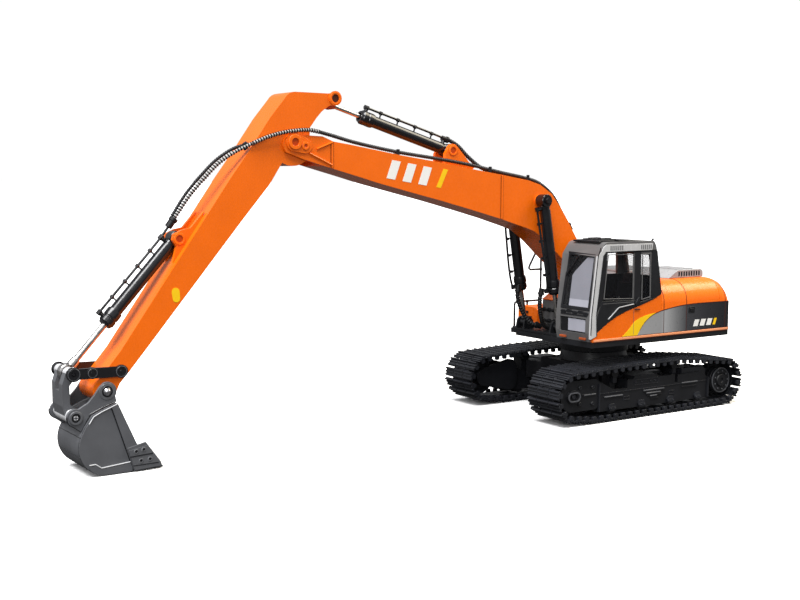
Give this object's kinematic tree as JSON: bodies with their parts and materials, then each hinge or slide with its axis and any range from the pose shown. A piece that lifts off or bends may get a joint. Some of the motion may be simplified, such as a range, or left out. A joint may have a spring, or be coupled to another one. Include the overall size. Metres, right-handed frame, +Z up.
{
  "type": "remote control excavator",
  "caption": "Toy tracked excavator with long jointed arm, hydraulic-look rams, bucket linkage, glazed cab and slewing body.",
  "frame": {"origin": "on the ground under the middle of the machine's outer box; the slewing axis is at x 0, y 0.2175", "axes": "+Z up, -Y towards the bucket, +Y towards the counterweight, +X the cab side"},
  "size_m": [0.176, 0.6857, 0.3036],
  "materials": {
    "orange_body": "satin orange moulding",
    "black_plastic": "matt black moulding",
    "ram_black": "satin black tube",
    "track_black": "matt black track plastic",
    "hose_black": "black hose",
    "cab_grey": "grey satin",
    "bucket_grey": "grey painted metal",
    "silver_plastic": "silver paint",
    "chrome_rod": "polished",
    "steel_pin": "bright steel",
    "window_glass": "smoked clear plastic",
    "battery_wrap": "heat-shrink wrap",
    "circuit_green": "solder mask"
  },
  "bodies": {
    "undercarriage": {"chassis": "black_plastic", "slew_ring": "black_plastic", "track_frame_left": "black_plastic", "track_frame_right": "black_plastic", "travel_motor_left": "black_plastic", "travel_motor_right": "black_plastic", "track_belt_left": "track_black", "track_belt_right": "track_black"},
    "idler_left": {"idler_left": "black_plastic"},
    "idler_right": {"idler_right": "black_plastic"},
    "sprocket_left": {"sprocket_left": "black_plastic"},
    "sprocket_right": {"sprocket_right": "black_plastic"},
    "house": {"house_deck": "black_plastic", "house_shell": "orange_body", "counterweight": "orange_body", "cab_skirt": "orange_body", "cab_frame": "cab_grey", "windscreen": "window_glass", "door_window": "window_glass", "rear_window": "window_glass", "seat": "black_plastic", "roof_hatch": "black_plastic", "engine_hood": "silver_plastic", "rear_hood": "silver_plastic", "toolbox": "orange_body", "side_step": "black_plastic", "handrail": "black_plastic", "boom_bracket": "black_plastic", "boom_foot_pin": "steel_pin", "valve_cover": "cab_grey", "battery_pack": "battery_wrap", "control_board": "circuit_green", "slew_motor": "steel_pin", "boom_ram_hose_left": "hose_black", "boom_ram_hose_right": "hose_black"},
    "boom": {"boom": "orange_body", "stick_pin": "orange_body", "boom_ram_pin": "black_plastic", "boom_hose": "hose_black", "boom_top_hose": "hose_black"},
    "boom_ram_barrel_left": {"boom_ram_barrel_left": "ram_black"},
    "boom_ram_rod_left": {"boom_ram_rod_left": "chrome_rod"},
    "boom_ram_barrel_right": {"boom_ram_barrel_right": "ram_black"},
    "boom_ram_rod_right": {"boom_ram_rod_right": "chrome_rod"},
    "stick_ram_barrel": {"stick_ram_barrel": "ram_black"},
    "stick_ram_rod": {"stick_ram_rod": "chrome_rod"},
    "stick": {"stick": "orange_body", "bucket_pin": "steel_pin", "rocker_pivot_pin": "black_plastic", "stick_hose": "hose_black", "joint_hose": "hose_black"},
    "bucket_ram_barrel": {"bucket_ram_barrel": "ram_black"},
    "bucket_ram_rod": {"bucket_ram_rod": "chrome_rod"},
    "rocker": {"rocker_left": "black_plastic", "rocker_right": "black_plastic", "rocker_tip_pin": "steel_pin"},
    "bucket_link": {"bucket_link": "bucket_grey"},
    "bucket": {"bucket": "bucket_grey", "link_pin": "steel_pin"}
  },
  "joints": [
    {"name": "slew", "type": "hinge", "parent": "undercarriage", "child": "house", "pos_m": [0, 0.2175, 0.066], "axis": [0, 0, 1], "continuous": true},
    {"name": "boom", "type": "hinge", "parent": "house", "child": "boom", "pos_m": [0, 0.2035, 0.112], "axis": [-1, 0, 0], "range_deg": [-12, 28], "deforming": ["boom_ram_hose_left", "boom_ram_hose_right"]},
    {"name": "stick", "type": "hinge", "parent": "boom", "child": "stick", "pos_m": [0, -0.143, 0.2595], "axis": [-1, 0, 0], "range_deg": [-45, 10], "deforming": ["joint_hose"]},
    {"name": "bucket", "type": "hinge", "parent": "stick", "child": "bucket", "pos_m": [0, -0.3105, 0.0646], "axis": [-1, 0, 0], "range_deg": [-30, 50]},
    {"name": "rocker", "type": "hinge", "parent": "stick", "child": "rocker", "pos_m": [0, -0.2975, 0.079], "axis": [-1, 0, 0], "range_deg": [-21.55, 35.59]},
    {"name": "bucket_link", "type": "hinge", "parent": "rocker", "child": "bucket_link", "pos_m": [0, -0.3355, 0.0795], "axis": [-1, 0, 0], "range_deg": [-9.48, 5.89]},
    {"name": "stick_ram_swing", "type": "hinge", "parent": "boom", "child": "stick_ram_barrel", "pos_m": [0, 0.0285, 0.2552], "axis": [-1, 0, 0], "range_deg": [-1.58, 5.34]},
    {"name": "stick_ram_stroke", "type": "slide", "parent": "stick_ram_barrel", "child": "stick_ram_rod", "axis": [0, -0.9581, 0.2863], "range_m": [-0.0097, 0.041]},
    {"name": "bucket_ram_swing", "type": "hinge", "parent": "stick", "child": "bucket_ram_barrel", "pos_m": [0, -0.2435, 0.1806], "axis": [-1, 0, 0], "range_deg": [-3.93, 6.21]},
    {"name": "bucket_ram_stroke", "type": "slide", "parent": "bucket_ram_barrel", "child": "bucket_ram_rod", "axis": [0, -0.673, -0.7396], "range_m": [-0.0192, 0.0119]},
    {"name": "idler_left", "type": "hinge", "parent": "undercarriage", "child": "idler_left", "pos_m": [0.066, 0.1159, 0.027], "axis": [1, 0, 0], "continuous": true},
    {"name": "sprocket_left", "type": "hinge", "parent": "undercarriage", "child": "sprocket_left", "pos_m": [0.066, 0.3191, 0.0245], "axis": [1, 0, 0], "continuous": true},
    {"name": "boom_ram_swing_left", "type": "hinge", "parent": "boom", "child": "boom_ram_barrel_left", "pos_m": [0.0255, 0.1255, 0.2085], "axis": [-1, 0, 0], "range_deg": [-5.46, 2.62]},
    {"name": "boom_ram_stroke_left", "type": "slide", "parent": "boom_ram_barrel_left", "child": "boom_ram_rod_left", "axis": [0, 0.1676, -0.9858], "range_m": [-0.0129, 0.029]},
    {"name": "idler_right", "type": "hinge", "parent": "undercarriage", "child": "idler_right", "pos_m": [-0.066, 0.1159, 0.027], "axis": [1, 0, 0], "continuous": true},
    {"name": "sprocket_right", "type": "hinge", "parent": "undercarriage", "child": "sprocket_right", "pos_m": [-0.066, 0.3191, 0.0245], "axis": [1, 0, 0], "continuous": true},
    {"name": "boom_ram_swing_right", "type": "hinge", "parent": "boom", "child": "boom_ram_barrel_right", "pos_m": [-0.0255, 0.1255, 0.2085], "axis": [-1, 0, 0], "range_deg": [-5.46, 2.62]},
    {"name": "boom_ram_stroke_right", "type": "slide", "parent": "boom_ram_barrel_right", "child": "boom_ram_rod_right", "axis": [0, 0.1676, -0.9858], "range_m": [-0.0129, 0.029]}
  ],
  "couplings": [
    {"joint": "rocker", "follows": "bucket", "ratio": 0.7017},
    {"joint": "bucket_link", "follows": "bucket", "ratio": -0.1796},
    {"joint": "stick_ram_swing", "follows": "stick", "ratio": -0.1076},
    {"joint": "stick_ram_stroke", "follows": "stick", "m_per_rad": -0.05115},
    {"joint": "bucket_ram_swing", "follows": "bucket", "ratio": 0.1143},
    {"joint": "bucket_ram_stroke", "follows": "bucket", "m_per_rad": -0.02113},
    {"joint": "idler_left", "follows": "sprocket_left", "ratio": 0.9947},
    {"joint": "boom_ram_swing_left", "follows": "boom", "ratio": -0.1771},
    {"joint": "boom_ram_stroke_left", "follows": "boom", "m_per_rad": 0.05764},
    {"joint": "idler_right", "follows": "sprocket_right", "ratio": 0.9947},
    {"joint": "boom_ram_swing_right", "follows": "boom", "ratio": -0.1771},
    {"joint": "boom_ram_stroke_right", "follows": "boom", "m_per_rad": 0.05764}
  ]
}
